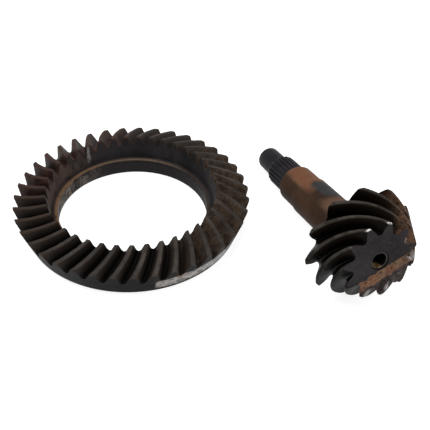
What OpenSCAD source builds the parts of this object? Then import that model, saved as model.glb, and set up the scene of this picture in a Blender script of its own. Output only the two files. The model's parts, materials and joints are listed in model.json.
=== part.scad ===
// Crown wheel and pinion: a spiral bevel gear pair with an enlarged, offset
// (hypoid) pinion, lying side by side on a bench.
//
// Frame: millimetres, +Z up. The origin is on the ring gear's axis, in the plane
// of its back face. The ring lies on its back face with its teeth up. The pinion
// lies beside it on +X, propped on two of its tooth tips and the tail of its shaft.

/* [Ring gear] */
// Number of teeth on the ring gear
ring_teeth = 39; // [37:2:43]
// Diameter over the outer (heel) tips of the ring's teeth
ring_tip_d = 216; // [214:1:220]
// Diameter over the inner (toe) tips of the ring's teeth
ring_toe_d = 156.4; // [155:0.2:158]
// Height of the outer tips above the back face
ring_heel_h = 28; // [27:0.5:30]
// Height of the inner tips above the back face
ring_toe_h = 37.8; // [36:0.2:39]
// Depth of a tooth at its outer end, measured along the outer cone
ring_tooth_depth = 11.6; // [10:0.2:12.4]
// Width of the floor of a tooth slot
ring_slot_floor = 2.4; // [1.8:0.1:3]
// Diameter of the outer rim just above the back face
ring_rim_d = 197.6; // [195:0.2:200]
// Diameter of the bore that centres the ring
ring_bore_d = 138.5; // [136:0.5:142]
// Diameter of the counterbore above the ledge
ring_ledge_d = 148.4; // [146:0.2:151]
// Height of the ledge above the back face
ring_ledge_h = 16; // [12:0.5:18]

/* [Ring cutter] */
// Radius of the face-mill cutter that forms the slots
cutter_r = 95; // [85:1:115]
// Spiral angle at the middle of the face
ring_spiral = 26; // [20:0.5:32]
// Pressure angle of the slot sides
pressure_angle = 21; // [18:0.5:22.5]

/* [Ring bolts] */
// Number of tapped holes in the back face
bolt_count = 10; // [8:1:12]
// Pitch circle of the tapped holes
bolt_pcd = 170; // [166:1:176]
// Diameter of the tapped holes
bolt_hole_d = 10.2; // [8:0.1:11]
// Depth of the tapped holes
bolt_hole_depth = 15; // [10:1:16]

/* [Pinion head] */
// Number of teeth on the pinion
pinion_teeth = 11; // [10:1:13]
// Diameter over the tooth tips at the large (heel) end
pinion_heel_d = 100.4; // [97:0.2:104]
// Diameter over the tooth tips at the nose
pinion_toe_d = 68.4; // [66:0.2:72]
// Length of the toothed head, measured along the shaft
pinion_face = 34; // [30:1:38]
// Tooth depth at the heel, measured outward from the shaft axis
pinion_heel_depth = 12.4; // [11:0.2:13.4]
// Tooth depth at the nose, measured outward from the shaft axis
pinion_toe_depth = 9.1; // [8:0.1:10]
// Turn of a tooth between its heel and its nose, in degrees
pinion_wrap = 78.6; // [60:0.2:85]

/* [Pinion shaft] */
// Diameter of the head-side bearing seat
head_seat_d = 38; // [36:0.5:40]
// Diameter of the middle bearing seat
mid_seat_d = 36; // [34:0.5:36.5]
// Outer diameter of the spline
spline_d = 30.2; // [28:0.2:31]
// Number of spline teeth
spline_teeth = 23; // [18:1:27]
// Diameter of the plain tail
tail_d = 22.6; // [20:0.2:24]
// Distance from the heel plane to the end of the head-side seat
head_seat_end = 87.5; // [83:0.5:92]
// Distance from the heel plane to the end of the middle seat
mid_seat_end = 115.5; // [111:0.5:120]
// Distance from the heel plane to the end of the spline
spline_end = 151; // [147:0.5:156]
// Distance from the heel plane to the end of the shaft
shaft_end = 179.5; // [175:0.5:185]

/* [Nose bush] */
// Diameter of the blind bore in the pinion's nose
nose_bore_d = 16; // [15:0.1:18]
// Inner diameter of the bush
bush_bore_d = 13; // [11:0.1:13.5]
// Length of the bush
bush_len = 20; // [15:0.5:24]
// Radial gap between the bush and the pinion
bush_gap = 0.05; // [0.03:0.01:0.1]

/* [Bench layout] */
// Where the centre of the pinion's heel plane lies along X
pinion_x = 184.9; // [180:0.1:200]
// Where the centre of the pinion's heel plane lies along Y
pinion_y = -101.3; // [-110:0.1:-90]
// How far the pinion's nose is turned from -Y towards +X
pinion_heading = 14.9; // [10:0.1:20]

/* [Hidden] */
$fn = 96;
eps = 0.01;

// Ring gear: points of its section, as radius and height
rim_chamfer = 2;
edge_chamfer = 1;
ring_heel = [ring_tip_d / 2, ring_heel_h];
ring_toe = [ring_toe_d / 2, ring_toe_h];
ring_rim = [ring_rim_d / 2, rim_chamfer];
ring_bore_r = ring_bore_d / 2;
ring_ledge_r = ring_ledge_d / 2;

// The tip cone and the root cone share one apex on the axis
ring_apex_h = ring_heel_h + ring_heel[0] * (ring_toe_h - ring_heel_h) / (ring_heel[0] - ring_toe[0]);
back_cone = (ring_rim - ring_heel) / norm(ring_rim - ring_heel);
ring_heel_root = ring_heel + back_cone * ring_tooth_depth;
root_slope = atan((ring_apex_h - ring_heel_root[1]) / ring_heel_root[0]);
heel_dist = ring_heel_root[0] / cos(root_slope);
toe_dist = ring_toe[0] / cos(root_slope);
mid_dist = (heel_dist + toe_dist) / 2;

// Cutter centre in the plane that touches the root cone at mid_dist along x
cutter_centre = [mid_dist - cutter_r * sin(ring_spiral), -cutter_r * cos(ring_spiral)];
slot_arc = 38;
slot_h = 16;
slot_flare = slot_h * tan(pressure_angle);
tap_point_h = bolt_hole_d / 2 * tan(31);

// Pinion, in its own frame: +Z from the shaft to the nose, heel plane at z = 0
heel_r = pinion_heel_d / 2;
toe_r = pinion_toe_d / 2;
heel_face_slope = 24;
tooth_pitch = 360 / pinion_teeth;
tip_half = 0.18 * tooth_pitch / 2;
root_half = 0.78 * tooth_pitch / 2;
flank_bulge = 0.5;
flank_steps = 5;
face_steps = 15;
wrap_curve = 0.095;
web_heel_r = 31;
web_toe_r = 17;
shoulder_d = 48;
shoulder_end = 12;
relief_depth = 0.5;
relief_len = 2;
head_seat_start = shoulder_end + relief_len + relief_depth;
tail_chamfer = 2;
spline_lead = 4;
spline_depth = 1.5;
spline_root_d = spline_d - 2 * spline_depth;
seat_chamfer = 1.2;

// Nose bore and bush
bush_recess = 1;
bush_chamfer = 0.4;
nose_bore_depth = bush_recess + bush_len + 1;

// Bench pose: the lowest corners of two neighbouring teeth and the tail touch the bench
prop_r = heel_r * cos(tooth_pitch / 2 - tip_half);
prop_tail = shaft_end - tail_chamfer;
pinion_tilt = atan((prop_r - tail_d / 2) / prop_tail);
pinion_z = prop_r * cos(pinion_tilt);
first_tooth = 270 + tooth_pitch / 2;

function lerp(a, b, t) = a + (b - a) * t;

// Section of the ring blank, from the back face outwards and round to the bore
module ring_section() {
    polygon([
        [ring_bore_r + edge_chamfer, 0],
        [ring_rim[0] - rim_chamfer, 0],
        ring_rim,
        ring_heel,
        ring_toe,
        [ring_ledge_r, ring_ledge_h],
        [ring_bore_r + edge_chamfer, ring_ledge_h],
        [ring_bore_r, ring_ledge_h - edge_chamfer],
        [ring_bore_r, edge_chamfer]
    ]);
}

// One slot: a flared section swept round the cutter's axis
module ring_slot() {
    translate([0, 0, ring_apex_h])
        rotate([0, root_slope, 0])
            translate([cutter_centre[0], cutter_centre[1], 0])
                rotate([0, 0, 90 - ring_spiral - slot_arc / 2])
                    rotate_extrude(angle = slot_arc)
                        translate([cutter_r, 0])
                            polygon([
                                [-ring_slot_floor / 2, 0],
                                [ring_slot_floor / 2, 0],
                                [ring_slot_floor / 2 + slot_flare, slot_h],
                                [-ring_slot_floor / 2 - slot_flare, slot_h]
                            ]);
}

// Blind hole in the back face, with a drilled point
module tapped_hole() {
    translate([bolt_pcd / 2, 0, -eps]) {
        cylinder(h = bolt_hole_depth + eps, d = bolt_hole_d);
        translate([0, 0, bolt_hole_depth + eps])
            cylinder(h = tap_point_h, d1 = bolt_hole_d, d2 = 0);
    }
}

module ring_gear() {
    color("#3b3533")
        difference() {
            rotate_extrude() ring_section();
            for (i = [0 : ring_teeth - 1])
                rotate([0, 0, i * 360 / ring_teeth]) ring_slot();
            for (i = [0 : bolt_count - 1])
                rotate([0, 0, (i + 0.5) * 360 / bolt_count]) tapped_hole();
        }
}

// Pinion tooth outline: angle from the tooth's centre and height from root (0) to tip (1)
function flank(i) =
    let (h = i / flank_steps)
    [lerp(root_half, tip_half, h) + 4 * flank_bulge * h * (1 - h), h];
tooth_outline = concat(
    [[-tooth_pitch / 2, 0]],
    [for (i = [0 : flank_steps]) [-flank(i)[0], flank(i)[1]]],
    [for (i = [flank_steps : -1 : 0]) flank(i)]
);
outline_n = len(tooth_outline);
loop_n = outline_n * pinion_teeth;

// A point of the head: s runs from the heel (0) to the nose (1)
function tip_r(s) = lerp(heel_r, toe_r, s);
function tooth_depth(s) = lerp(pinion_heel_depth, pinion_toe_depth, s);
function tooth_turn(s) = pinion_wrap * s * (1 - wrap_curve + wrap_curve * s);
function head_point(s, angle, h) =
    let (
        r = tip_r(s) - (1 - h) * tooth_depth(s),
        a = first_tooth + angle - tooth_turn(s),
        drop = (1 - s) * (1 - h) * pinion_heel_depth * tan(heel_face_slope)
    )
    [r * cos(a), r * sin(a), s * pinion_face - drop];
function head_loop(s) =
    [for (k = [0 : pinion_teeth - 1], p = tooth_outline)
        head_point(s, k * tooth_pitch + p[0], p[1])];
// A plain ring of points inside an end loop, one beside each slot's centre
function web_loop(s, r) =
    [for (k = [0 : pinion_teeth - 1])
        let (edge = head_point(s, (k - 0.5) * tooth_pitch, 0))
        [r * edge[0] / norm([edge[0], edge[1]]), r * edge[1] / norm([edge[0], edge[1]]), edge[2]]];

// The toothed cone as one closed skin: loops from heel to nose, then a web at each end
module toothed_cone() {
    rows = face_steps + 1;
    heel_web = rows * loop_n;
    toe_web = heel_web + pinion_teeth;
    points = concat(
        [for (j = [0 : face_steps]) each head_loop(j / face_steps)],
        web_loop(0, web_heel_r),
        web_loop(1, web_toe_r)
    );
    sides = [for (j = [0 : face_steps - 1], i = [0 : loop_n - 1])
        let (a = j * loop_n + i, b = j * loop_n + (i + 1) % loop_n)
        each [[a, a + loop_n, b], [b, a + loop_n, b + loop_n]]];
    heel_cap = [for (k = [0 : pinion_teeth - 1], i = [0 : outline_n - 1])
        let (a = k * outline_n + i)
        [a, (a + 1) % loop_n, heel_web + k]];
    heel_join = [for (k = [0 : pinion_teeth - 1])
        [((k + 1) * outline_n) % loop_n, heel_web + (k + 1) % pinion_teeth, heel_web + k]];
    toe_row = face_steps * loop_n;
    toe_cap = [for (k = [0 : pinion_teeth - 1], i = [0 : outline_n - 1])
        let (a = k * outline_n + i)
        [toe_row + (a + 1) % loop_n, toe_row + a, toe_web + k]];
    toe_join = [for (k = [0 : pinion_teeth - 1])
        [toe_web + (k + 1) % pinion_teeth, toe_row + ((k + 1) * outline_n) % loop_n, toe_web + k]];
    heel_disc = [[for (k = [0 : pinion_teeth - 1]) heel_web + k]];
    toe_disc = [[for (k = [pinion_teeth - 1 : -1 : 0]) toe_web + k]];
    polyhedron(
        points = points,
        faces = concat(sides, heel_cap, heel_join, toe_cap, toe_join, heel_disc, toe_disc)
    );
}

// Section of the stem, as radius and distance behind the heel plane
module stem_section() {
    polygon([
        [0, -10],
        [shoulder_d / 2 - 2, -10],
        [shoulder_d / 2, shoulder_end - 1],
        [shoulder_d / 2 - 1, shoulder_end],
        [head_seat_d / 2 - relief_depth, shoulder_end],
        [head_seat_d / 2 - relief_depth, shoulder_end + relief_len],
        [head_seat_d / 2, head_seat_start],
        [head_seat_d / 2, head_seat_end - seat_chamfer],
        [mid_seat_d / 2, head_seat_end],
        [mid_seat_d / 2, mid_seat_end - seat_chamfer],
        [spline_d / 2, mid_seat_end + seat_chamfer],
        [spline_d / 2, spline_end - spline_lead],
        [tail_d / 2, spline_end],
        [tail_d / 2, shaft_end - tail_chamfer],
        [tail_d / 2 - tail_chamfer, shaft_end],
        [0, shaft_end]
    ]);
}

// One groove between two spline teeth
module spline_groove() {
    land = 360 / spline_teeth;
    outer_r = spline_d / 2 + 1;
    root_r = spline_root_d / 2;
    translate([0, 0, -spline_end - 1])
        linear_extrude(height = spline_end - mid_seat_end)
            polygon([
                root_r * [cos(land * 0.16), -sin(land * 0.16)],
                outer_r * [cos(land * 0.32), -sin(land * 0.32)],
                outer_r * [cos(land * 0.32), sin(land * 0.32)],
                root_r * [cos(land * 0.16), sin(land * 0.16)]
            ]);
}

module nose_bore() {
    translate([0, 0, pinion_face - nose_bore_depth])
        cylinder(h = nose_bore_depth + 1, d = nose_bore_d);
}

// Puts a part from the pinion's own frame where the pinion lies
module on_bench() {
    translate([pinion_x, pinion_y, pinion_z])
        rotate([0, 0, pinion_heading])
            rotate([90 - pinion_tilt, 0, 0])
                children();
}

module pinion() {
    color("#4a4340")
        on_bench()
            difference() {
                union() {
                    toothed_cone();
                    mirror([0, 0, 1]) rotate_extrude() stem_section();
                }
                for (i = [0 : spline_teeth - 1])
                    rotate([0, 0, i * 360 / spline_teeth]) spline_groove();
                nose_bore();
            }
}

module bush_section() {
    inner_r = bush_bore_d / 2;
    outer_r = nose_bore_d / 2 - bush_gap;
    polygon([
        [inner_r, bush_chamfer],
        [inner_r + bush_chamfer, 0],
        [outer_r - bush_chamfer, 0],
        [outer_r, bush_chamfer],
        [outer_r, bush_len - bush_chamfer],
        [outer_r - bush_chamfer, bush_len],
        [inner_r + bush_chamfer, bush_len],
        [inner_r, bush_len - bush_chamfer]
    ]);
}

module pilot_bush() {
    color("#a88658")
        on_bench()
            translate([0, 0, pinion_face - bush_recess - bush_len])
                rotate_extrude() bush_section();
}

pilot_bush();
pinion();
ring_gear();
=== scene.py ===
import json
import math

import bmesh
import bpy
import numpy as np
from mathutils import Matrix, Vector, noise


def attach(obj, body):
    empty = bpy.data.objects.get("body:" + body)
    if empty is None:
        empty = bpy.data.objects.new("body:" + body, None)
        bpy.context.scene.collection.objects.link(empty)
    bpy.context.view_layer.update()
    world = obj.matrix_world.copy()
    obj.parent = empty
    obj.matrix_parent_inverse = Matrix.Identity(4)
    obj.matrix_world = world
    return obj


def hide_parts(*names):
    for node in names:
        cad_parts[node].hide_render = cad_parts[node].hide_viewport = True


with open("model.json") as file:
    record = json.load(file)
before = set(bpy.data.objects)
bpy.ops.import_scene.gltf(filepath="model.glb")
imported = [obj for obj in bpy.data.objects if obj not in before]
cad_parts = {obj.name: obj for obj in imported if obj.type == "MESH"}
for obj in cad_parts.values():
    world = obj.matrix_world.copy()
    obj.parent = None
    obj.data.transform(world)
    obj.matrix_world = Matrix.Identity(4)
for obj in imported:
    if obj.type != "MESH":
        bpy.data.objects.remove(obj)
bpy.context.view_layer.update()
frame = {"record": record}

MM = 0.001
SHARP_EDGE = math.radians(38)    # a corner sharper than this stays crisp when shaded
rng = np.random.default_rng(7)

# --- Ring gear, in millimetres -------------------------------------------------------
RING_TEETH = 39
RING_HEEL = (108.0, 28.0)        # outer tooth tip: radius, height
RING_TOE = (78.2, 37.8)          # inner tooth tip
RING_RIM = (98.8, 2.0)           # outer edge above the rim chamfer
RING_LEDGE = (74.2, 16.0)        # foot of the inner wall
RING_BORE_R = 69.25
RING_EDGE = 1.0                  # chamfers on the bore
RING_DEPTH = 11.6                # tooth depth at the heel, along the outer cone
RING_FILLET, RING_ROUND, RING_CHAMFER = 1.5, 0.6, 0.3
RING_NICKS, RING_NICK_DEPTH = 2.6, 0.8     # the mean number on a tooth edge, and the deepest
RING_STATIONS = 25               # evenly spaced loops from heel to toe
BOLTS, BOLT_PCD, BOLT_R, BOLT_DEPTH = 10, 170.0, 5.1, 15.0
BOLT_POINT = math.radians(31)    # slope of the drilled point
SLOT_FLOOR = 2.4                 # width of the floor between two teeth
CUTTER_R = 95.0                  # radius of the circle that each slot follows
SPIRAL = math.radians(26)
PRESSURE = math.radians(21)
# places up a flank, from root to tip, and across the land at its top
FLANK = np.array([0, 0.04, 0.1, 0.2, 0.38, 0.58, 0.78, 0.9, 0.96, 1.0])
LAND = np.array([0.2, 0.5, 0.8])

# --- Pinion, in its own frame: +Z to the nose, heel plane at z = 0 -------------------
PINION_TEETH = 11
HEEL_R, TOE_R = 50.2, 34.2
HEEL_DEPTH, TOE_DEPTH = 12.4, 9.1
FACE = 34.0
WRAP, WRAP_CURVE = 78.6, 0.095   # degrees that a tooth turns from heel to toe, and its bend
PINION_SPIRAL = math.radians(52)
HEEL_SLOPE = math.radians(24)
PITCH = 360 / PINION_TEETH
TIP_HALF, ROOT_HALF = 0.18 * PITCH / 2, 0.78 * PITCH / 2
FLANK_BULGE = 2.0                # how far a flank bows out, in degrees
FIRST_TOOTH = 270 + PITCH / 2
P_ROUND, P_FILLET, P_CHAMFER = 0.6, 1.6, 0.35
P_NICKS, P_NICK_DEPTH = 2.0, 0.9
P_STATIONS = 45
P_FLANK = np.array([0, 0.05, 0.12, 0.22, 0.36, 0.52, 0.68, 0.82, 0.91, 0.965, 1.0])
P_LAND = np.array([0.25, 0.5, 0.75])
WEB_R = 26.0                     # where the web behind the teeth meets the shoulder
NOSE_BORE_R, NOSE_BORE_DEPTH, NOSE_LEAD = 8.0, 22.0, 0.25
BUSH_R, BUSH_BORE_R, BUSH_LEN, BUSH_RECESS = 7.95, 6.5, 20.0, 1.0
SPLINE_TEETH = 23
SPLINE_R, SPLINE_ROOT_R = 15.1, 13.6
# the shaft: radius, and where each length ends behind the heel plane
SHOULDER_R, SHOULDER_END = 24.0, 12.0
HEAD_SEAT_R, HEAD_SEAT_END = 19.0, 87.5
MID_SEAT_R, MID_SEAT_END = 18.0, 115.5
SPLINE_END, TAIL_R, SHAFT_END = 151.0, 11.3, 179.5
# the broken corner of the nose: its direction from the axis, how far out it starts, and its slope
BREAK_TURN = math.radians(21)
BREAK_WAY = (math.sin(BREAK_TURN), -math.cos(BREAK_TURN))
BREAK_DIST, BREAK_SLOPE = 8.4, 0.02
BREAK_GRID = 0.6                 # spacing of the points on the broken face
# its three patches scraped bright: x, y and radius
SCRAPES = [(32.0, -3.5, 5.2), (9.5, -29.5, 3.4), (-8.0, -32.0, 5.4)]

# which part of a gear a loop of its mesh belongs to; the ring's BORE takes in its back face
BORE, CONE, TOOTH, WALL, LEDGE, NOSE, WEB, STEM, SPLINE, TAIL = range(10)


def lerp(a, b, t):
    return a + (b - a) * t


def smooth(x, low, high):
    """0 up to low and 1 from high on, with a soft rise between."""
    t = np.clip((x - low) / (high - low), 0, 1)
    return t * t * (3 - 2 * t)


def polar(radius, turn, z):
    """Points at these radii, azimuths and heights."""
    return np.stack(np.broadcast_arrays(radius * np.cos(turn), radius * np.sin(turn), z), 1)


def turn_and_radius(points):
    return np.arctan2(points[:, 1], points[:, 0]), np.hypot(points[:, 0], points[:, 1])


def circle(count, radius, z, start=0.0):
    return polar(radius, start + np.arange(count) * 2 * math.pi / count, z)


# --- Meshes --------------------------------------------------------------------------
def face_outwards(mesh):
    """Turns every face of a closed mesh to look out of it."""
    work = bmesh.new()
    work.from_mesh(mesh)
    bmesh.ops.recalc_face_normals(work, faces=work.faces)
    work.to_mesh(mesh)
    work.free()


def shade_smooth(mesh):
    mesh.polygons.foreach_set("use_smooth", [True] * len(mesh.polygons))
    mesh.set_sharp_from_angle(angle=SHARP_EDGE)


def mesh_object(name, verts, faces, masks, matrix=None):
    """A closed mesh in metres, smooth-shaded with its corners kept, with one float attribute a mask."""
    mesh = bpy.data.meshes.new(name)
    verts = np.asarray(verts) * MM
    mesh.from_pydata(verts.tolist(), [], faces)
    if matrix is not None:
        mesh.transform(matrix)
    mesh.validate()
    face_outwards(mesh)
    for key, values in masks.items():
        layer = mesh.attributes.new(key, "FLOAT", "POINT")
        layer.data.foreach_set("value", np.asarray(values, np.float32))
    shade_smooth(mesh)
    mesh.update()
    obj = bpy.data.objects.new(name, mesh)
    bpy.context.scene.collection.objects.link(obj)
    return obj


def bridge_loops(counts, closed):
    """The faces of a skin: quads between loops of equal length, triangles where the length changes.

    When closed, the last loop joins the first. Otherwise each end has a cap.
    """
    starts = np.concatenate([[0], np.cumsum(counts)[:-1]]).astype(int)
    faces = []
    for j in range(len(counts) if closed else len(counts) - 1):
        k = (j + 1) % len(counts)
        a, b, na, nb = int(starts[j]), int(starts[k]), counts[j], counts[k]
        if na == nb:
            i = np.arange(na)
            n = (i + 1) % na
            faces += np.stack([a + i, a + n, b + n, b + i], 1).tolist()
            continue
        i = m = 0
        while i < na or m < nb:
            if m >= nb or (i < na and (i + 1) * nb <= (m + 1) * na):
                faces.append([a + i % na, a + (i + 1) % na, b + m % nb])
                i += 1
            else:
                faces.append([a + i % na, b + (m + 1) % nb, b + m % nb])
                m += 1
    if not closed:
        faces.append(list(range(counts[0]))[::-1])
        faces.append([int(starts[-1]) + i for i in range(counts[-1])])
    return faces


def cut(obj, cutter):
    """Takes the cutter out of the object, keeping the masks of both."""
    modifier = obj.modifiers.new("cut", "BOOLEAN")
    modifier.solver = "MANIFOLD"
    modifier.object = cutter
    whole = obj.evaluated_get(bpy.context.evaluated_depsgraph_get())
    mesh = bpy.data.meshes.new_from_object(whole)
    mesh.name = obj.name
    mesh.materials.clear()
    mesh.polygons.foreach_set("material_index", [0] * len(mesh.polygons))
    obj.modifiers.clear()
    obj.data = mesh
    shade_smooth(mesh)
    bpy.data.objects.remove(cutter)
    return obj


class Loops:
    """The loops of a gear's skin, with each point's height up its tooth and its zone."""

    def __init__(self):
        self.points = []
        self.height = []
        self.zone = []

    def add(self, points, zone, height=0.0):
        self.points.append(points)
        self.height.append(np.broadcast_to(height, len(points)))
        self.zone.append(np.full(len(points), zone))

    def counts(self):
        return [len(points) for points in self.points]

    def joined(self):
        return [np.concatenate(part) for part in (self.points, self.height, self.zone)]


def nick_field(teeth, mean, deepest):
    """Random small dents on both edges of each tooth: (tooth, edge, place, half width, depth)."""
    nicks = []
    for tooth in range(teeth):
        for edge in (0, 1):
            for _ in range(rng.poisson(mean)):
                place = rng.random()
                half = rng.uniform(0.012, 0.03)
                depth = rng.uniform(0.3, 1) * deepest
                nicks.append((tooth, edge, place, half, depth))
    return nicks


def nick_depth(nicks, tooth, edge, t):
    """How deep a tooth edge is dented at t."""
    depths = [depth * max(0.0, 1 - ((t - place) / half) ** 2)
              for k, e, place, half, depth in nicks if (k, e) == (tooth, edge)]
    return max(depths, default=0.0)


# --- Ring gear -----------------------------------------------------------------------
heel, toe = np.array(RING_HEEL), np.array(RING_TOE)
rim, ledge = np.array(RING_RIM), np.array(RING_LEDGE)
apex_h = heel[1] + heel[0] * (toe[1] - heel[1]) / (heel[0] - toe[0])
back_cone = (rim - heel) / np.linalg.norm(rim - heel)
heel_root = heel + back_cone * RING_DEPTH
root_slope = math.atan((apex_h - heel_root[1]) / heel_root[0])
wall = (toe - ledge) / (toe[1] - ledge[1])
# where the root cone meets the inner wall
toe_root_h = (apex_h - (ledge[0] - wall[0] * ledge[1]) * math.tan(root_slope)) / (
    1 + wall[0] * math.tan(root_slope)
)
toe_root = np.array([ledge[0] + wall[0] * (toe_root_h - ledge[1]), toe_root_h])
mid_dist = (heel_root[0] + toe[0]) / 2 / math.cos(root_slope)
cutter_x = mid_dist - CUTTER_R * math.sin(SPIRAL)
cutter_y = -CUTTER_R * math.cos(SPIRAL)


def slot_side(r, z, side, extra):
    """Azimuth of a slot's flank at radius r and height z: the cutter's circle, seen in the root plane."""
    turn = np.zeros_like(r)
    for _ in range(6):           # the azimuth settles well within six rounds
        drop = apex_h - z
        x = r * np.cos(turn) * math.cos(root_slope) + drop * math.sin(root_slope)
        depth = r * np.cos(turn) * math.sin(root_slope) - drop * math.cos(root_slope)
        fillet = 0.5 * RING_FILLET * np.clip(1 - depth / RING_FILLET, 0, 1.2) ** 2
        off = SLOT_FLOOR / 2 + depth * math.tan(PRESSURE) - fillet + extra
        radius = CUTTER_R + side * off
        y = cutter_y + np.sqrt(radius**2 - (x - cutter_x) ** 2)
        turn = np.arcsin(y / r)
    return turn


def ring_station(t, inset, nicks):
    """One loop round all the teeth, and its heights: t is 0 at the heel and 1 at the toe."""
    shift = inset * np.array([0.2, 1.0])       # a chamfer lowers the loop and draws it in a little
    root = lerp(heel_root, toe_root, t) - shift
    tip = lerp(heel, toe, t) - shift
    step = 2 * math.pi / RING_TEETH
    from_tip = (1 - FLANK) * np.linalg.norm(tip - root)
    corner = 0.5 * RING_ROUND * np.clip(1 - from_tip / RING_ROUND, 0, 1) ** 2
    side = root[None] + (tip - root)[None] * FLANK[:, None]
    top = np.repeat(tip[None], len(LAND), 0)
    profile = np.concatenate([[root, root], side, top, side[::-1], [root]])
    height = np.concatenate([[0, 0], FLANK, np.ones(len(LAND)), FLANK[::-1], [0]])
    mid = slot_side(root[:1], root[1:], 0.0, 0.0)[0]

    def flank(way, nick):
        extra = inset + corner + nick * smooth(FLANK, 0.8, 1.0)
        return slot_side(side[:, 0], side[:, 1], way, extra)

    loop = []
    for k in range(RING_TEETH):
        nick_a = nick_depth(nicks, k, 0, t)
        nick_b = nick_depth(nicks, k, 1, t)
        a = flank(1, nick_a)
        b = flank(-1, nick_b) + step
        floor_a = lerp(mid, a[0], 0.55)
        floor_b = lerp(mid + step, b[0], 0.55)
        land = lerp(a[-1], b[-1], LAND)
        turns = np.concatenate([[mid, floor_a], a, land, b[::-1], [floor_b]]) + k * step
        # a nick also presses the land beside it down
        sink = 0.35 * max(nick_a, nick_b) * smooth(height, 0.93, 1.0)
        loop.append(polar(profile[:, 0], turns, profile[:, 1] - sink))
    return np.concatenate(loop), np.tile(height, RING_TEETH)


def ring_loops():
    """The ring's skin: down the bore, out along the back, up over the teeth and in to the ledge."""
    nicks = nick_field(RING_TEETH, RING_NICKS, RING_NICK_DEPTH)
    chamfer = RING_CHAMFER / np.linalg.norm(heel - toe)
    stations = [(0.0, RING_CHAMFER), (chamfer, 0.0)]
    stations += [(t, 0.0) for t in np.linspace(0, 1, RING_STATIONS)[1:-1]]
    stations += [(1 - chamfer, 0.0), (1.0, RING_CHAMFER)]
    teeth = [ring_station(t, inset, nicks) for t, inset in stations]
    # the lower loops take their azimuths from the heel and the upper ones from the toe, so they close
    first, last = teeth[0][0], teeth[-1][0]
    heel_turn, heel_r = turn_and_radius(first)
    toe_turn, toe_r = turn_and_radius(last)
    loops = Loops()
    foot = rim[0] - rim[1]       # where the rim chamfer meets the back
    back = [(RING_BORE_R, z) for z in (15.0, 11.0, 8.0, 4.5, RING_EDGE)]
    back += [(r, 0.0) for r in (RING_BORE_R + RING_EDGE, 76.0, 86.0, foot - 0.4)]
    back += [(foot, 0.15), (rim[0] - 0.3, rim[1] - 0.35), (rim[0], rim[1])]
    for r, z in back:
        loops.add(polar(r, heel_turn, z), BORE)
    for f in (0.04, 0.1, 0.18, 0.26, 0.34, 0.42, 0.5, 0.6, 0.72, 0.86, 0.97):
        loops.add(polar(lerp(rim[0], heel_r, f), heel_turn, lerp(rim[1], first[:, 2], f)), CONE)
    for points, height in teeth:
        loops.add(points, TOOTH, height)
    for f in (0.12, 0.3, 0.5, 0.7, 0.88, 0.97):
        loops.add(polar(lerp(toe_r, ledge[0], f), toe_turn, lerp(last[:, 2], ledge[1], f)), WALL)
    for r, z in [(ledge[0] - 0.3, ledge[1] + 0.1), (ledge[0] - 1.2, ledge[1]),
                 (RING_BORE_R + 1.1, ledge[1]), (RING_BORE_R + 0.85, ledge[1] - 0.08),
                 (RING_BORE_R + 0.1, ledge[1] - 0.85)]:
        loops.add(polar(r, toe_turn, z), LEDGE)
    return loops


def ring_masks(verts, height, zone):
    """Where each finish of the ring's steel shows."""
    turn, radius = turn_and_radius(verts)
    azimuth = np.degrees(turn) % 360
    z = verts[:, 2]

    def toward(centre, low, high):
        """1 near one azimuth of the ring, fading to 0 away from it."""
        return smooth(np.cos(np.radians(azimuth - centre)), low, high)

    return {
        # the parts of the gear, and how high a point lies on its tooth and over the ground
        "height": height,
        "level": z,
        "land": (zone == TOOTH) * smooth(height, 0.9, 1.0),
        "tooth": zone == TOOTH,
        "bore": zone == BORE,
        "cone": zone == CONE,
        "wall": zone == WALL,
        "hole": np.zeros(len(z)),
        # wear
        "rubbed": (zone == CONE) * smooth(azimuth, 278.2, 279.0) * (1 - smooth(azimuth, 316, 330)),
        "rust_spot": (zone == CONE) * toward(291, 0.9992, 0.9999),
        "ledge": (zone == LEDGE) * (1 - smooth(radius, RING_BORE_R + 1.2, ledge[0] - 1.2)),
        "scratch": (zone == WALL) * toward(121.7, 0.9995, 0.9999) * smooth(z, 19, 23),
        # sides with their own tint: right is browner, and also painted lighter as painted light where its
        # flanks face the lamp; back has lighter flanks; tawny and red tint the ledge and teeth; left has
        # rust on its lands, and painted light on its inner wall, bore and ledge, which face the lamp
        "right": toward(-5, 0.3, 0.9),
        "back": toward(75, 0.2, 0.75),
        "tawny": toward(130, -0.1, 0.6),
        "red": toward(132, 0.55, 0.9),
        "left": toward(175, 0.35, 0.95),
    }


def bolt_holes():
    """The blind holes of the back face, as one cutter."""
    verts, faces = [], []
    count = 48
    profile = [(BOLT_R + 1.6, -1.0), (BOLT_R + 0.6, 0.0), (BOLT_R, 0.6), (BOLT_R, BOLT_DEPTH),
               (0.05, BOLT_DEPTH + BOLT_R * math.tan(BOLT_POINT))]
    for k in range(BOLTS):
        turn = math.radians((k + 0.5) * 360 / BOLTS)
        centre = BOLT_PCD / 2 * np.array([math.cos(turn), math.sin(turn), 0.0])
        start = len(verts) * count
        verts += [circle(count, r, z) + centre for r, z in profile]
        hole = bridge_loops([count] * len(profile), closed=False)
        faces += [[start + i for i in face] for face in hole]
    return mesh_object("cutter", np.concatenate(verts), faces, {"hole": np.ones(len(verts) * count)})


def make_ring():
    loops = ring_loops()
    verts, height, zone = loops.joined()
    faces = bridge_loops(loops.counts(), closed=True)
    obj = mesh_object("ring_gear_forged", verts, faces, ring_masks(verts, height, zone))
    return cut(obj, bolt_holes())


# --- Pinion --------------------------------------------------------------------------
spin = next(j for j in frame["record"]["behaviour"]["joints"] if j["name"] == "pinion_spin")
nose_way = Vector(spin["axis"]).normalized()
side_way = Vector((-nose_way.y, nose_way.x, 0)).normalized()
up_way = nose_way.cross(side_way)
PINION_PLACE = Matrix.Translation(Vector(spin["pos_m"])) @ Matrix(
    (side_way, up_way, nose_way)
).transposed().to_4x4()


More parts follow.
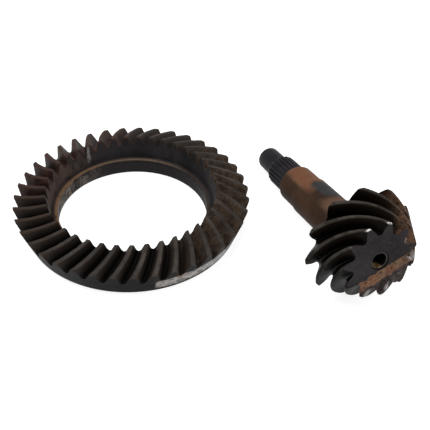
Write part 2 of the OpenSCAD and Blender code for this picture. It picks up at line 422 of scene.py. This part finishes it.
def head_points(s, angle, h, inset):
    """Points of the head: s is 0 at the heel and 1 at the nose, h is 0 at a root and 1 at a tip."""
    r = lerp(HEEL_R, TOE_R, s) - (1 - h) * lerp(HEEL_DEPTH, TOE_DEPTH, s) - inset
    wrap = WRAP * s * (1 - WRAP_CURVE + WRAP_CURVE * s)
    drop = (1 - s) * (1 - h) * HEEL_DEPTH * math.tan(HEEL_SLOPE)
    return polar(r, np.radians(FIRST_TOOTH + angle - wrap), s * FACE - drop)


def head_station(s, inset, nicks):
    """One loop round all the teeth of the head, and its heights."""
    h = P_FLANK
    depth = lerp(HEEL_DEPTH, TOE_DEPTH, s)
    r = lerp(HEEL_R, TOE_R, s) - (1 - h) * depth
    # rounding and fillets are set out across the tooth, so they grow by 1 / cos(spiral)
    per_deg = math.radians(1) * r * math.cos(PINION_SPIRAL)
    corner = 0.5 * P_ROUND * np.clip(1 - (1 - h) * depth / P_ROUND, 0, 1) ** 2
    fillet = 0.5 * P_FILLET * np.clip(1 - h * depth / P_FILLET, 0, 1) ** 2
    half = lerp(ROOT_HALF, TIP_HALF, h) + FLANK_BULGE * h * (1 - h) + (fillet - corner - inset) / per_deg
    near_tip = smooth(h, 0.75, 1) / per_deg
    height = np.concatenate([[0, 0], h, np.ones(len(P_LAND)), h[::-1], [0]])
    loop = []
    for k in range(PINION_TEETH):
        left = nick_depth(nicks, k, 0, s) * near_tip - half
        right = half - nick_depth(nicks, k, 1, s) * near_tip
        floor_a = lerp(-PITCH / 2, left[0], 0.6)
        floor_b = lerp(PITCH / 2, right[0], 0.6)
        land = lerp(left[-1], right[-1], P_LAND)
        angle = np.concatenate([[-PITCH / 2, floor_a], left, land, right[::-1], [floor_b]])
        loop.append(head_points(s, angle + k * PITCH, height, inset))
    return np.concatenate(loop), np.tile(height, PINION_TEETH)


def head_stations():
    """The toothed outline, as loops from the nose to the heel."""
    nicks = nick_field(PINION_TEETH, P_NICKS, P_NICK_DEPTH)
    chamfer = P_CHAMFER / FACE
    stations = [(1.0, P_CHAMFER), (1 - chamfer, 0.0)]
    stations += [(s, 0.0) for s in np.linspace(1, 0, P_STATIONS)[1:-1]]
    stations += [(chamfer, 0.0), (0.0, P_CHAMFER)]
    return [head_station(s, inset, nicks) for s, inset in stations]


def evened(points):
    """A toothed loop's radii, an even azimuth for each point, and how far the point drifts from it."""
    turn, radius = turn_and_radius(points)
    even = turn[0] + np.arange(len(turn)) * 2 * math.pi / len(turn)
    drift = (turn - even + math.pi) % (2 * math.pi) - math.pi
    return radius, even, drift


def nose_profile():
    """The blind bore, from its bottom out to the nose face: radius and height."""
    bottom = FACE - NOSE_BORE_DEPTH
    return [(0.3, bottom - 4.6), (NOSE_BORE_R - 0.2, bottom - 0.1), (NOSE_BORE_R, bottom + 0.3),
            (NOSE_BORE_R, FACE - 6), (NOSE_BORE_R, FACE - 1.3), (NOSE_BORE_R, FACE - NOSE_LEAD),
            (NOSE_BORE_R + NOSE_LEAD, FACE)]


def stem_profile():
    """Shoulder, grinding relief and the two seats: radius, and distance behind the heel plane."""
    groove_r = HEAD_SEAT_R - 0.5
    stem = [(SHOULDER_R + 0.5, 6.2), (SHOULDER_R + 0.1, 7.4), (SHOULDER_R, SHOULDER_END - 1.4),
            (SHOULDER_R - 0.3, SHOULDER_END - 0.5), (SHOULDER_R - 1, SHOULDER_END),
            (HEAD_SEAT_R + 0.4, SHOULDER_END), (HEAD_SEAT_R - 0.4, SHOULDER_END + 0.2),
            (groove_r, SHOULDER_END + 0.6), (groove_r, SHOULDER_END + 1.9),
            (HEAD_SEAT_R, SHOULDER_END + 2.6)]
    stem += [(HEAD_SEAT_R, d) for d in np.arange(SHOULDER_END + 6, HEAD_SEAT_END - 2, 4)]
    stem += [(HEAD_SEAT_R, HEAD_SEAT_END - 1.3), (HEAD_SEAT_R - 0.15, HEAD_SEAT_END - 0.9),
             (MID_SEAT_R + 0.1, HEAD_SEAT_END - 0.1), (MID_SEAT_R, HEAD_SEAT_END + 0.3)]
    stem += [(MID_SEAT_R, d) for d in np.arange(HEAD_SEAT_END + 4, MID_SEAT_END - 2, 4)]
    stem += [(MID_SEAT_R, MID_SEAT_END - 1.3), (MID_SEAT_R - 0.2, MID_SEAT_END - 0.8),
             (SPLINE_R + 0.3, MID_SEAT_END + 1.0)]
    return stem


def spline_profile():
    """The spline: radius over its teeth, share of their full depth, and distance behind the heel plane."""
    run = [(1.4, 0.0), (2.0, 0.0), (4.0, 0.75)]
    run += [(d, 1.0) for d in (5.6, 12, 18, 24, 30.6)]
    rows = [(SPLINE_R, share, MID_SEAT_END + d) for d, share in run]
    return rows + [(SPLINE_R - 0.5, 0.9, SPLINE_END - 3.0), (13.2, 0.15, SPLINE_END - 1.8)]


def tail_profile():
    """The plain end of the shaft: radius, and distance behind the heel plane."""
    tail = [(TAIL_R + 0.3, SPLINE_END - 0.2), (TAIL_R + 0.05, SPLINE_END + 0.2), (TAIL_R, SPLINE_END + 1)]
    tail += [(TAIL_R, d) for d in np.arange(SPLINE_END + 5, SHAFT_END - 4, 5)]
    tail += [(TAIL_R, SHAFT_END - 2.3), (TAIL_R - 0.2, SHAFT_END - 1.7), (TAIL_R - 1.7, SHAFT_END - 0.2)]
    return tail + [(r, SHAFT_END) for r in (TAIL_R - 2.1, 4.0, 0.3)]


def spline_loop(count, outer, depth_share, z):
    """A loop round the spline, whose teeth have this share of their full depth."""
    turn = np.arange(count) * 2 * math.pi / count
    tooth = smooth(-np.cos(turn * SPLINE_TEETH), -0.45, 0.35)
    return polar(outer - (SPLINE_R - SPLINE_ROOT_R) * depth_share * (1 - tooth), turn, z)


def pinion_loops():
    """The pinion's skin, from the bottom of the nose bore over the teeth to the tail end."""
    teeth = head_stations()
    loops = Loops()
    rim_r, even, drift = evened(teeth[0][0])
    for r, z in nose_profile():
        loops.add(circle(len(even), r, z, even[0]), BORE)
    for f in (0.08, 0.3, 0.55, 0.8, 0.96):
        loops.add(polar(lerp(NOSE_BORE_R + NOSE_LEAD, rim_r, f), even + drift * f, FACE), NOSE)
    for points, height in teeth:
        loops.add(points, TOOTH, height)
    back = teeth[-1][0]
    back_r, even, drift = evened(back)
    web_z = -HEEL_DEPTH * math.tan(HEEL_SLOPE) - 0.2
    for f in (0.15, 0.45, 0.75, 1.0):
        z = lerp(back[:, 2], web_z, f)
        loops.add(polar(lerp(back_r, WEB_R, f), even + drift * (1 - f), z), WEB)
    for r, distance in stem_profile():
        loops.add(circle(len(even), r, -distance, even[0]), STEM)
    fine = SPLINE_TEETH * 16
    for r, share, distance in spline_profile():
        loops.add(spline_loop(fine, r, share, -distance), SPLINE)
    for r, distance in tail_profile():
        loops.add(circle(fine, r, -distance), TAIL)
    return loops


def pinion_masks(verts, height, zone):
    """Where each finish of the pinion's steel shows."""
    x, y, z = verts.T
    along = -z
    side_turn = np.degrees(np.arctan2(x, y))

    def facing(centre, low, high):
        """1 on the side that faces one direction: 0 is up and 90 is to the right, in degrees."""
        return smooth(np.cos(np.radians(side_turn - centre)), low, high)

    seat = (zone == STEM) * smooth(along, 5.5, 7.0)
    chord = x * BREAK_WAY[0] + y * BREAK_WAY[1]
    nose_edge = smooth(z, FACE - 1.0, FACE - 0.3) * smooth(height, 0.93, 1)
    return {
        # the parts of the pinion, and how high a point lies on its tooth
        "height": height,
        "land": (zone == TOOTH) * smooth(height, 0.92, 1.0),
        "tooth": zone == TOOTH,
        "nose": zone == NOSE,
        "bore": (zone == BORE) * (1 - smooth(z, FACE - 1.3, FACE - 0.9)),
        "seat": seat,
        "spline": (zone == SPLINE) | (zone == TAIL),
        # tints of the seats and of one side, and painted light: tan, fringe and rust_side are rust; the
        # grey patch is a painted highlight on the polished seat; low marks painted shade on the lower
        # left; glint marks painted highlights on the nose corners of the upper teeth
        "tan": seat * facing(2, 0.6, 0.92) * smooth(along, 56, 80),
        "grey_highlight": seat * facing(38, 0.42, 0.85) * smooth(along, 42, 54) * (1 - smooth(along, 70, 86)),
        "fringe": seat * facing(0, 0.6, 0.95) * (1 - smooth(along, 38, 60)),
        "low": facing(-150, 0.25, 0.8),
        "rust_side": (zone == TOOTH) * facing(82, 0.3, 0.95),
        "glint": (zone == TOOTH) * nose_edge * facing(-5, 0.62, 0.85),
        # the broken corner: teeth torn off with it, and the distance past its edge
        "stub": smooth(z, FACE - 9, FACE - 4) * smooth(chord, BREAK_DIST + 6, BREAK_DIST + 10),
        "chord": chord - BREAK_DIST,
        "scrape": scraped(x, y) * smooth(z, FACE - 9, FACE - 5),
        "broken": np.zeros(len(z)),
    }


def scraped(x, y):
    """1 in the patches of the broken corner that are scraped bright."""
    patches = [smooth(-np.hypot(x - a, y - b), -1.3 * r, -0.6 * r) for a, b, r in SCRAPES]
    return np.max(patches, axis=0)


@np.vectorize
def noise_at(x, y, seed):
    return noise.noise(Vector((x, y, seed)))


def nose_break():
    """A rough sheet, solid above: it takes the broken lower right corner off the nose."""
    across = np.arange(-42, 42.1, BREAK_GRID)
    out = np.arange(-3, 40.1, BREAK_GRID)
    grid_a, grid_o = np.meshgrid(across, out, indexing="ij")
    rough = np.zeros_like(grid_a)
    for frequency, amount, seed in [(0.09, 0.9, 2.0), (0.3, 0.8, 5.0), (0.85, 0.5, 9.0)]:
        rough += amount * noise_at(grid_a * frequency, grid_o * frequency, seed)
    # the edge of the break wanders, and the face falls away past it
    wander = noise_at(across * 0.2, 3, 0) + 0.4 * noise_at(across * 0.7, 8, 0)
    past = grid_o - wander[:, None]
    drop = BREAK_SLOPE * (past - 0.35) + 1.1 * smooth(past, 0.2, 3.5) + rough * smooth(past, -0.5, 4)
    low = FACE - np.where(past > 0.2, np.maximum(drop, 0.1), np.minimum(drop, -0.05))
    way = np.array(BREAK_WAY)
    sideways = np.array([-way[1], way[0]])
    xy = grid_a[..., None] * sideways + (grid_o + BREAK_DIST)[..., None] * way
    under = np.concatenate([xy, low[..., None]], 2).reshape(-1, 3)
    above = under.copy()
    above[:, 2] = FACE + 8
    rows, cols = grid_a.shape
    index = np.arange(rows * cols).reshape(rows, cols)
    quads = np.stack([index[:-1, :-1], index[:-1, 1:], index[1:, 1:], index[1:, :-1]], -1).reshape(-1, 4)
    top = quads[:, ::-1] + rows * cols
    edge = np.concatenate([index[:, 0], index[-1, 1:], index[-2::-1, -1], index[0, -2:0:-1]])
    after = np.roll(edge, -1)
    sides = np.stack([edge, after, after + rows * cols, edge + rows * cols], 1)
    verts = np.concatenate([under, above])
    faces = np.concatenate([quads, top, sides]).tolist()
    masks = {"broken": np.ones(len(verts)), "chord": np.tile(grid_o.reshape(-1), 2),
             "scrape": scraped(verts[:, 0], verts[:, 1])}
    return mesh_object("cutter", verts, faces, masks, PINION_PLACE)


def make_pinion():
    loops = pinion_loops()
    verts, height, zone = loops.joined()
    faces = bridge_loops(loops.counts(), closed=False)
    obj = mesh_object("pinion_forged", verts, faces, pinion_masks(verts, height, zone), PINION_PLACE)
    return cut(obj, nose_break())


# --- Bush ----------------------------------------------------------------------------
def make_bush():
    top = FACE - BUSH_RECESS
    low = top - BUSH_LEN
    edge, groove = 0.4, 0.25     # its chamfers, and the depth of the oil groove inside
    profile = [(BUSH_BORE_R, low + edge), (BUSH_BORE_R, low + 8.5), (BUSH_BORE_R + groove, low + 9.2),
               (BUSH_BORE_R + groove, low + 10.8), (BUSH_BORE_R, low + 11.5),
               (BUSH_BORE_R, top - edge - 0.3), (BUSH_BORE_R + 0.08, top - edge),
               (BUSH_BORE_R + edge, top - 0.05), (BUSH_BORE_R + edge + 0.1, top),
               (BUSH_R - edge - 0.1, top), (BUSH_R - edge, top - 0.05), (BUSH_R - 0.05, top - edge),
               (BUSH_R, top - edge - 0.2), (BUSH_R, low + edge), (BUSH_R - edge, low),
               (BUSH_BORE_R + edge, low)]
    count = 96
    verts = np.concatenate([circle(count, r, z) for r, z in profile])
    faces = bridge_loops([count] * len(profile), closed=True)
    _, radius = turn_and_radius(verts)
    z = verts[:, 2]
    # painted light and shade: the lower left of its wall near the mouth, which faces up to the light, is
    # painted bright brass; the rest is painted black as shade
    lower_left = (verts[:, 0] * -0.5 + verts[:, 1] * -0.87) / radius
    masks = {
        "lit": smooth(lower_left, 0.55, 0.9) * smooth(z, top - 10, top - 6),
        "face": smooth(z, top - 0.5, top - 0.1) * smooth(radius, BUSH_BORE_R + 0.05, BUSH_BORE_R + 0.3),
    }
    return mesh_object("pilot_bush_bronze", verts, faces, masks, PINION_PLACE)


# --- Materials -----------------------------------------------------------------------
WHITE = (1, 1, 1, 1)
OILED_METAL = 0.05               # under its oil the steel hardly mirrors
OILED_SPECULAR = 0.03


def srgb(text):
    """A colour written as six hex digits, as linear RGBA."""
    out = []
    for i in (0, 2, 4):
        c = int(text[i:i + 2], 16) / 255
        out.append(c / 12.92 if c <= 0.04045 else ((c + 0.055) / 1.055) ** 2.4)
    return (*out, 1.0)


class Nodes:
    """A short way to write a material's node tree.

    Every value is a number, another node's socket, or a colour as six hex digits.
    """

    def __init__(self, name):
        self.material = bpy.data.materials.new(name)
        self.material.use_nodes = True
        self.tree = self.material.node_tree
        self.shader = self.tree.nodes["Principled BSDF"]
        self.coords = self.tree.nodes.new("ShaderNodeTexCoord").outputs["Object"]

    def put(self, socket, value):
        if isinstance(value, bpy.types.NodeSocket):
            self.tree.links.new(value, socket)
        elif isinstance(value, str):
            socket.default_value = srgb(value)
        else:
            socket.default_value = value

    def math(self, operation, a, b):
        node = self.tree.nodes.new("ShaderNodeMath")
        node.operation = operation
        self.put(node.inputs[0], a)
        self.put(node.inputs[1], b)
        return node.outputs[0]

    def inverse(self, value):
        return self.math("SUBTRACT", 1.0, value)

    def mask(self, name):
        """One of the mesh's own attributes."""
        node = self.tree.nodes.new("ShaderNodeAttribute")
        node.attribute_name = name
        return node.outputs["Fac"]

    def noise(self, scale, detail, rough):
        node = self.tree.nodes.new("ShaderNodeTexNoise")
        node.inputs["Scale"].default_value = scale
        node.inputs["Detail"].default_value = detail
        node.inputs["Roughness"].default_value = rough
        self.put(node.inputs["Vector"], self.coords)
        return node.outputs["Fac"]

    def sway(self, scale, amount):
        """Noise round zero."""
        return self.times(self.math("SUBTRACT", self.noise(scale, 5, 0.6), 0.5), amount)

    def step(self, value, low, high):
        """0 below low and 1 above high, with a soft edge between."""
        node = self.tree.nodes.new("ShaderNodeMapRange")
        node.interpolation_type = "SMOOTHSTEP"
        self.put(node.inputs["Value"], value)
        node.inputs["From Min"].default_value = low
        node.inputs["From Max"].default_value = high
        return node.outputs["Result"]

    def mix(self, factor, a, b):
        """From one colour to another."""
        return self.mixed("RGBA", factor, a, b)

    def blend(self, factor, a, b):
        """From one number to another."""
        return self.mixed("FLOAT", factor, a, b)

    def mixed(self, kind, factor, a, b):
        node = self.tree.nodes.new("ShaderNodeMix")
        node.data_type = kind
        self.put(node.inputs["Factor"], factor)
        self.put(node.inputs["A"], a)
        self.put(node.inputs["B"], b)
        return node.outputs["Result"]

    def times(self, *values):
        """The product of masks and numbers."""
        out = values[0]
        for value in values[1:]:
            out = self.math("MULTIPLY", out, value)
        return out

    def bump(self, height, strength, distance):
        node = self.tree.nodes.new("ShaderNodeBump")
        node.inputs["Strength"].default_value = strength
        node.inputs["Distance"].default_value = distance
        self.put(node.inputs["Height"], height)
        self.put(self.shader.inputs["Normal"], node.outputs[0])

    def surface(self, colour, rough, metal):
        self.put(self.shader.inputs["Base Color"], colour)
        self.put(self.shader.inputs["Roughness"], rough)
        self.put(self.shader.inputs["Metallic"], metal)


class OiledSteel(Nodes):
    """What both gears' steels share: clouds, spots and grain, and where the oil is worn through."""

    def __init__(self, name, cloud_scale, worn_from):
        super().__init__(name)
        self.cloud = self.noise(cloud_scale, 5, 0.6)
        self.spots = self.noise(130, 5, 0.65)
        self.grain = self.noise(450, 4, 0.65)
        both = self.math("ADD", self.times(self.spots, 0.6), self.times(self.grain, 0.4))
        self.worn = self.step(both, worn_from, 0.6)
        self.shader.inputs["Specular IOR Level"].default_value = OILED_SPECULAR

    def pitted(self, spot_height, strength, distance):
        height = self.math("ADD", self.times(self.grain, 0.6), self.times(self.spots, spot_height))
        self.bump(height, strength, distance)


def ring_steel():
    n = OiledSteel("ring_oiled_steel", cloud_scale=26, worn_from=0.42)
    mottle = n.step(n.cloud, 0.35, 0.68)
    colour = n.mix(mottle, "1d1b1c", "2d2b2c")
    # painted shade: the outer cone, which faces down towards the floor, is painted darker than the rest of
    # the steel
    colour = n.mix(n.mask("cone"), colour, n.mix(mottle, "0a090a", "131213"))
    # painted light: the left of the inner wall, which faces the lamp, is painted a lighter brown in spots
    wall = n.times(n.mask("wall"), n.mask("left"), n.step(n.spots, 0.3, 0.6))
    colour = n.mix(wall, colour, "4a3d36")
    colour = ring_teeth(n, colour)
    # painted light: on the left, which faces the lamp, the bore's worn spots are painted lighter
    bore = n.mix(n.times(n.mask("left"), n.worn), "242222", "6a6058")
    colour = n.mix(n.mask("bore"), colour, bore)
    # the ledge is rusty; on the left, which faces the lamp, its rust is painted lighter as painted light
    ledge = n.mix(n.mask("left"), "5c4d40", "70543e")
    on_ledge = n.times(n.mask("ledge"), n.step(n.spots, 0.2, 0.5), n.blend(n.mask("tawny"), 0.25, 1.0))
    colour = n.mix(on_ledge, colour, ledge)
    # painted shade: the inside of the bolt holes is painted near black
    colour = n.mix(n.mask("hole"), colour, "0b0a0a")
    colour = n.mix(n.times(n.mask("scratch"), n.step(n.spots, 0.35, 0.55)), colour, "73716e")
    colour, rub = rubbed_band(n, colour)
    rough = n.blend(rub, n.blend(n.spots, 0.38, 0.62), 0.42)
    n.surface(colour, rough, n.blend(rub, OILED_METAL, 0.85))
    n.pitted(1.0, strength=0.45, distance=0.0007)
    return n.material


def ring_teeth(n, colour):
    """Near-black flanks, darkest at the root, browner on the right and also painted lighter there as
    painted light, redder at the back left, and worn lands.
    """
    flank = n.mix(n.step(n.mask("height"), 0.1, 0.95), "100e0d", "302925")
    flank = n.mix(n.mask("back"), flank, n.mix(n.mask("height"), "241f1c", "3f3834"))
    colour = n.mix(n.mask("tooth"), colour, flank)
    # browner on the right, and painted lighter there as painted light where the flanks face the lamp
    right_brown_and_lit = n.times(n.mask("right"), n.mask("tooth"), n.step(n.cloud, 0.25, 0.6), 0.75)
    colour = n.mix(right_brown_and_lit, colour, n.mix(n.worn, "352b24", "5b4c3f"))
    on_red = n.times(n.mask("red"), n.mask("tooth"), n.step(n.cloud, 0.25, 0.55), 0.85)
    colour = n.mix(on_red, colour, n.mix(n.worn, "2b1c19", "4f372f"))
    land = n.mix(n.step(n.cloud, 0.3, 0.7), "2c2927", "46413d")
    land = n.mix(n.mask("left"), land, "3a302a")
    land = n.mix(n.mask("red"), land, "3d2c27")
    return n.mix(n.times(n.mask("land"), n.step(n.spots, 0.2, 0.6)), colour, land)


def rubbed_band(n, colour):
    """A bright band round part of the outer cone, above a dark rim, with one rusty spot."""
    level = n.math("ADD", n.mask("level"), n.sway(90, 5.0))
    above = n.step(level, 4.4, 5.8)
    below = n.inverse(n.step(level, 16.5, 18.0))
    rub = n.times(above, below, n.mask("rubbed"))
    bright = n.mix(n.step(n.noise(240, 3, 0.6), 0.35, 0.65), "494643", "96918d")
    colour = n.mix(rub, colour, bright)
    rusty = n.times(n.mask("rust_spot"), n.step(level, 11.0, 14.0), n.step(n.grain, 0.3, 0.6))
    return n.mix(rusty, colour, "6e4f3e"), rub


def pinion_steel():
    n = OiledSteel("pinion_oiled_steel", cloud_scale=32, worn_from=0.4)
    mottle = n.step(n.cloud, 0.3, 0.7)
    edge = n.sway(60, 1.1)
    colour = pinion_head(n, mottle, edge)
    colour = n.mix(n.mask("seat"), colour, seat_colour(n, mottle, edge))
    colour = n.mix(n.mask("spline"), colour, n.mix(mottle, "222023", "312f33"))
    # painted shade: the inside of the nose bore is painted near black
    colour = n.mix(n.mask("bore"), colour, "080707")
    on_break = n.math("MAXIMUM", n.mask("broken"), n.mask("stub"))
    colour = n.mix(on_break, colour, torn_steel(n, edge))
    # painted highlight: near-white glints on the nose corners of the upper teeth
    colour = n.mix(n.times(n.mask("glint"), n.step(n.spots, 0.42, 0.52)), colour, "f2f0ec")
    rough = n.blend(n.mask("seat"), n.blend(n.spots, 0.34, 0.56), 0.55)
    rough = n.blend(on_break, rough, 0.6)
    n.surface(colour, rough, OILED_METAL)
    n.pitted(0.8, strength=0.3, distance=0.0005)
    return n.material


def patch(n, name, edge, low, high):
    """A mask with its border broken up by noise."""
    ragged = n.step(n.math("ADD", n.mask(name), edge), low, high)
    return n.times(ragged, n.step(n.mask(name), 0.02, 0.2))


def pinion_head(n, mottle, edge):
    """Dark flanks under lighter lands, rust on one side, painted shade on the lower left, and the flat
    nose.
    """
    flank = n.mix(n.step(n.mask("height"), 0.1, 0.95), "040302", "140f0b")
    colour = n.mix(n.step(n.cloud, 0.35, 0.7), "1d1a18", "2c2824")
    colour = n.mix(n.mask("tooth"), colour, flank)
    # the lands are painted lighter, but not on the lower left, where painted shade is kept
    lit_land = n.times(n.mask("land"), n.step(n.spots, 0.2, 0.6), n.inverse(n.mask("low")))
    colour = n.mix(lit_land, colour, "3d3833")
    # painted shade: the teeth on the lower left are painted near black
    colour = n.mix(n.times(n.mask("low"), n.mask("tooth"), 0.8), colour, "050403")
    rust = n.mix(n.worn, "30231b", "624938")
    rust = n.mix(n.step(n.noise(150, 4, 0.7), 0.58, 0.66), rust, "8a807b")
    colour = n.mix(n.times(patch(n, "rust_side", edge, 0.25, 0.9), 0.8), colour, rust)
    nose = n.mix(mottle, "242123", "343032")
    nose = n.mix(n.step(n.grain, 0.6, 0.72), nose, "4a4546")
    return n.mix(n.mask("nose"), colour, nose)


def seat_colour(n, mottle, edge):
    """The shaft: brown steel with a rusty tan patch whose top is painted lighter as a highlight, a
    polished patch painted grey as a highlight, a brown fringe by the head, and painted shade on the lower
    left.
    """
    seat = n.mix(mottle, "30231a", "443225")
    fringe = n.mix(n.spots, "4c3a2f", "6a5040")
    seat = n.mix(n.times(patch(n, "fringe", edge, 0.1, 0.8), 0.9), seat, fringe)
    tan = n.mix(n.step(n.noise(55, 3, 0.5), 0.35, 0.65), "543a2c", "74523d")
    # painted highlight: the top of the tan rust patch, which faces up, is painted lighter
    tan = n.mix(n.step(n.mask("tan"), 0.75, 1.0), tan, n.mix(n.spots, "64412f", "74513c"))
    seat = n.mix(patch(n, "tan", edge, 0.1, 0.85), seat, tan)
    # painted highlight: the polished seat's upper right is painted grey as the reflection of the light
    # above
    seat = n.mix(patch(n, "grey_highlight", edge, 0.1, 0.7), seat, n.mix(n.spots, "262627", "404041"))
    # painted shade: the lower left of the shaft is painted dark brown
    return n.mix(n.times(n.mask("low"), 0.9), seat, "2a190f")


def torn_steel(n, edge):
    """The broken corner of the nose: a rusty band, then dark stubs with scraped patches."""
    chord = n.math("ADD", n.mask("chord"), n.times(edge, 8.0))
    rusty = n.mix(n.worn, "4c3428", "805a45")
    rusty = n.mix(n.step(n.noise(170, 4, 0.6), 0.5, 0.68), rusty, "6e625c")
    rusty = n.mix(n.step(n.noise(120, 4, 0.6), 0.44, 0.68), rusty, "6b5a45")
    rusty = n.mix(n.step(n.noise(170, 4, 0.65), 0.52, 0.66), rusty, "453229")
    stub = n.mix(n.worn, "282222", "463e3d")
    stub = n.mix(n.step(n.noise(75, 4, 0.6), 0.6, 0.7), stub, "5e5757")
    torn = n.mix(n.step(chord, 9.0, 12.5), rusty, stub)
    flecks = n.step(n.math("ADD", n.noise(260, 4, 0.7), n.times(edge, 0.3)), 0.36, 0.52)
    return n.mix(n.times(n.mask("scrape"), flecks), torn, "a39c99")


def bronze():
    n = Nodes("bush_aged_bronze")
    spots = n.noise(300, 4, 0.6)
    colour = n.mix(n.step(spots, 0.4, 0.65), "ecca90", "94703f")
    # painted shade: all but the lit lower left is painted black, and dark specks show on the lit part too
    painted_shade_and_specks = n.math("MAXIMUM", n.inverse(n.mask("lit")), n.step(spots, 0.6, 0.7))
    colour = n.mix(painted_shade_and_specks, colour, "070504")
    colour = n.mix(n.mask("face"), colour, "2e2a2c")
    n.surface(colour, n.blend(spots, 0.3, 0.5), n.blend(painted_shade_and_specks, 0.9, 0.0))
    n.bump(spots, strength=0.2, distance=0.0002)
    return n.material


def dress(obj, material, node, body):
    """Gives a piece its material and its body, and hides the CAD node that it stands for."""
    obj.data.materials.append(material)
    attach(obj, body)
    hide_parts(node)


# --- Stage ---------------------------------------------------------------------------
CAMERA_AIM = Vector((0.0771, -0.0033, 0.0))
CAMERA_LENS = 66.7
CAMERA_DISTANCE = 0.7574
CAMERA_AZIMUTH = math.radians(7.75)
CAMERA_ELEVATION = math.radians(40.97)
CAMERA_ROLL = math.radians(1.72)


def add_camera():
    data = bpy.data.cameras.new("camera")
    data.lens = CAMERA_LENS
    camera = bpy.data.objects.new("camera", data)
    bpy.context.scene.collection.objects.link(camera)
    level = math.cos(CAMERA_ELEVATION)
    back = Vector((-math.sin(CAMERA_AZIMUTH) * level, -math.cos(CAMERA_AZIMUTH) * level,
                   math.sin(CAMERA_ELEVATION)))
    turn = back.to_track_quat("Z", "Y").to_matrix() @ Matrix.Rotation(CAMERA_ROLL, 3, "Z")
    camera.matrix_world = Matrix.Translation(CAMERA_AIM + back * CAMERA_DISTANCE) @ turn.to_4x4()
    bpy.context.scene.camera = camera


def add_floor():
    """White paper that glows, a hair below the ring's back face."""
    mesh = bpy.data.meshes.new("floor")
    half = 12.0
    low = -0.0003
    corners = [(-half, -half, low), (half, -half, low), (half, half, low), (-half, half, low)]
    mesh.from_pydata(corners, [], [(0, 1, 2, 3)])
    floor = bpy.data.objects.new("floor", mesh)
    bpy.context.scene.collection.objects.link(floor)
    n = Nodes("floor_paper")
    n.surface("bcbcbc", 0.9, 0.0)
    n.shader.inputs["Specular IOR Level"].default_value = 0.0
    n.shader.inputs["Emission Color"].default_value = WHITE
    n.shader.inputs["Emission Strength"].default_value = 0.85
    floor.data.materials.append(n.material)


def add_light(name, place, target, size, power):
    data = bpy.data.lights.new(name, "AREA")
    data.shape = "SQUARE"
    data.size = size
    data.energy = power
    light = bpy.data.objects.new(name, data)
    light.location = place
    light.rotation_euler = (Vector(target) - Vector(place)).to_track_quat("-Z", "Y").to_euler()
    bpy.context.scene.collection.objects.link(light)


def add_world():
    """A bright horizon under a dimmer dome, so the floor runs into white."""
    world = bpy.data.worlds.new("studio")
    world.use_nodes = True
    tree = world.node_tree
    split = tree.nodes.new("ShaderNodeSeparateXYZ")
    ramp = tree.nodes.new("ShaderNodeMapRange")
    ramp.inputs["From Min"].default_value = 0.04
    ramp.inputs["From Max"].default_value = 0.25
    ramp.inputs["To Min"].default_value = 1.0
    ramp.inputs["To Max"].default_value = 0.28
    tree.links.new(tree.nodes.new("ShaderNodeTexCoord").outputs["Generated"], split.inputs[0])
    tree.links.new(split.outputs["Z"], ramp.inputs["Value"])
    background = tree.nodes["Background"]
    background.inputs["Color"].default_value = WHITE
    tree.links.new(ramp.outputs[0], background.inputs["Strength"])
    bpy.context.scene.world = world
    bpy.context.scene.view_settings.view_transform = "Standard"


add_camera()
add_floor()
add_world()
add_light("key", place=(-0.3, 0.1, 1.3), target=(0.08, 0, 0), size=1.1, power=16)
add_light("fill", place=(0.9, -0.6, 0.9), target=(0.1, 0, 0), size=0.8, power=4)

dress(make_ring(), ring_steel(), "ring_gear", "ring_gear")
dress(make_pinion(), pinion_steel(), "pinion", "pinion")
dress(make_bush(), bronze(), "pilot_bush", "pilot_bush")
